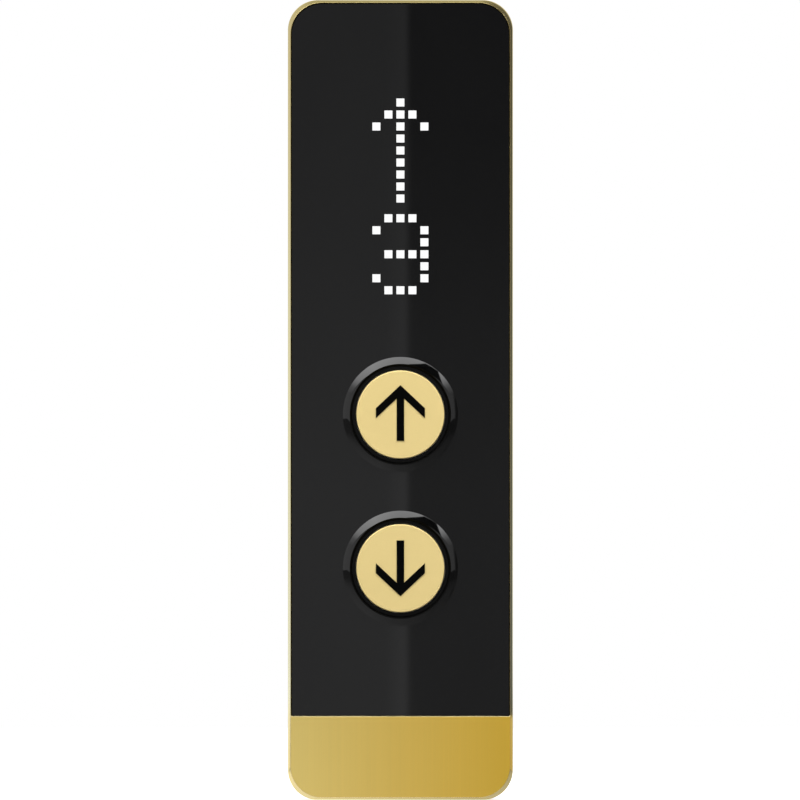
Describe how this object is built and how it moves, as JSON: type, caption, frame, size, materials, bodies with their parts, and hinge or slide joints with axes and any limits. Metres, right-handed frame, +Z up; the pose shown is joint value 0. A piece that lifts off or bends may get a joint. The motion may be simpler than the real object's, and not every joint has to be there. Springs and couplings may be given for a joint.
{
  "type": "elevator call button panel",
  "caption": "Slim wall-mounted elevator call panel: round up and down push buttons, square-dot arrow and floor display behind a glossy black face, gold rim and gold foot bar.",
  "frame": {"origin": "centre of the back plate's wall face", "axes": "+Z up, +Y into the wall, the front with the buttons faces -Y, +X to the right seen from the front"},
  "size_m": [0.09, 0.0267, 0.32],
  "materials": {
    "gold_anodised": "gold anodised, finely brushed",
    "gloss_face": "polished black acrylic",
    "foam_tape": "double-sided bonding tape",
    "zinc_plate": "zinc-plated sheet steel",
    "screw_steel": "zinc-plated steel",
    "nylon": "moulded natural nylon",
    "grommet_rubber": "moulded black rubber",
    "collar_black": "turned and gloss black",
    "smoked_ring": "smoked light guide, unlit",
    "cap_gold": "satin pale gold anodised",
    "arrow_black": "matte black inlay",
    "spring_wire": "bright drawn spring wire",
    "base_black": "moulded black",
    "circuit_board": "green solder mask on glass-fibre board",
    "chip": "moulded black",
    "terminal": "moulded green",
    "lamp": "clear cast lens",
    "matrix_shell": "moulded black shell",
    "lit_square": "white diffuser, lit",
    "unlit_square": "smoked diffuser, unlit"
  },
  "bodies": {
    "housing": {"casing_frame": "gold_anodised", "carrier_plate": "zinc_plate", "carrier_screws": "screw_steel", "face_tape": "foam_tape", "face_plate": "gloss_face", "bottom_trim": "gold_anodised", "trim_clips": "nylon", "back_plate": "zinc_plate", "cable_grommet": "grommet_rubber", "fixing_pillar": "screw_steel", "fixing_screw": "screw_steel", "up_collar": "collar_black", "up_ring_nut": "nylon", "up_light_ring": "smoked_ring", "up_spring": "spring_wire", "up_base": "base_black", "up_board": "circuit_board", "up_switch": "chip", "up_lamps": "lamp", "up_socket": "nylon", "up_base_screws": "screw_steel", "down_collar": "collar_black", "down_ring_nut": "nylon", "down_light_ring": "smoked_ring", "down_spring": "spring_wire", "down_base": "base_black", "down_board": "circuit_board", "down_switch": "chip", "down_lamps": "lamp", "down_socket": "nylon", "down_base_screws": "screw_steel", "arrow_matrix": "matrix_shell", "digit_matrix": "matrix_shell", "lit_squares": "lit_square", "unlit_squares": "unlit_square", "display_board": "circuit_board", "display_posts": "screw_steel", "display_screws": "screw_steel", "board_chips": "chip", "board_sockets": "nylon", "terminal_block": "terminal", "sounder": "chip"},
    "up_button": {"up_cap": "cap_gold", "up_arrow": "arrow_black", "up_plunger": "nylon"},
    "up_pin": {"up_switch_pin": "nylon"},
    "down_button": {"down_cap": "cap_gold", "down_arrow": "arrow_black", "down_plunger": "nylon"},
    "down_pin": {"down_switch_pin": "nylon"}
  },
  "joints": [
    {"name": "up_press", "type": "slide", "parent": "housing", "child": "up_button", "axis": [0, 1, 0], "range_m": [0, 0.0015], "stiffness_N_per_m": 1000, "springref_m": -0.0025, "deforming": ["up_spring"]},
    {"name": "up_pin_press", "type": "slide", "parent": "housing", "child": "up_pin", "axis": [0, 1, 0], "range_m": [0, 0.0015]},
    {"name": "down_press", "type": "slide", "parent": "housing", "child": "down_button", "axis": [0, 1, 0], "range_m": [0, 0.0015], "stiffness_N_per_m": 1000, "springref_m": -0.0025, "deforming": ["down_spring"]},
    {"name": "down_pin_press", "type": "slide", "parent": "housing", "child": "down_pin", "axis": [0, 1, 0], "range_m": [0, 0.0015]}
  ],
  "couplings": [
    {"joint": "up_pin_press", "follows": "up_press", "ratio": 1},
    {"joint": "down_pin_press", "follows": "down_press", "ratio": 1}
  ]
}
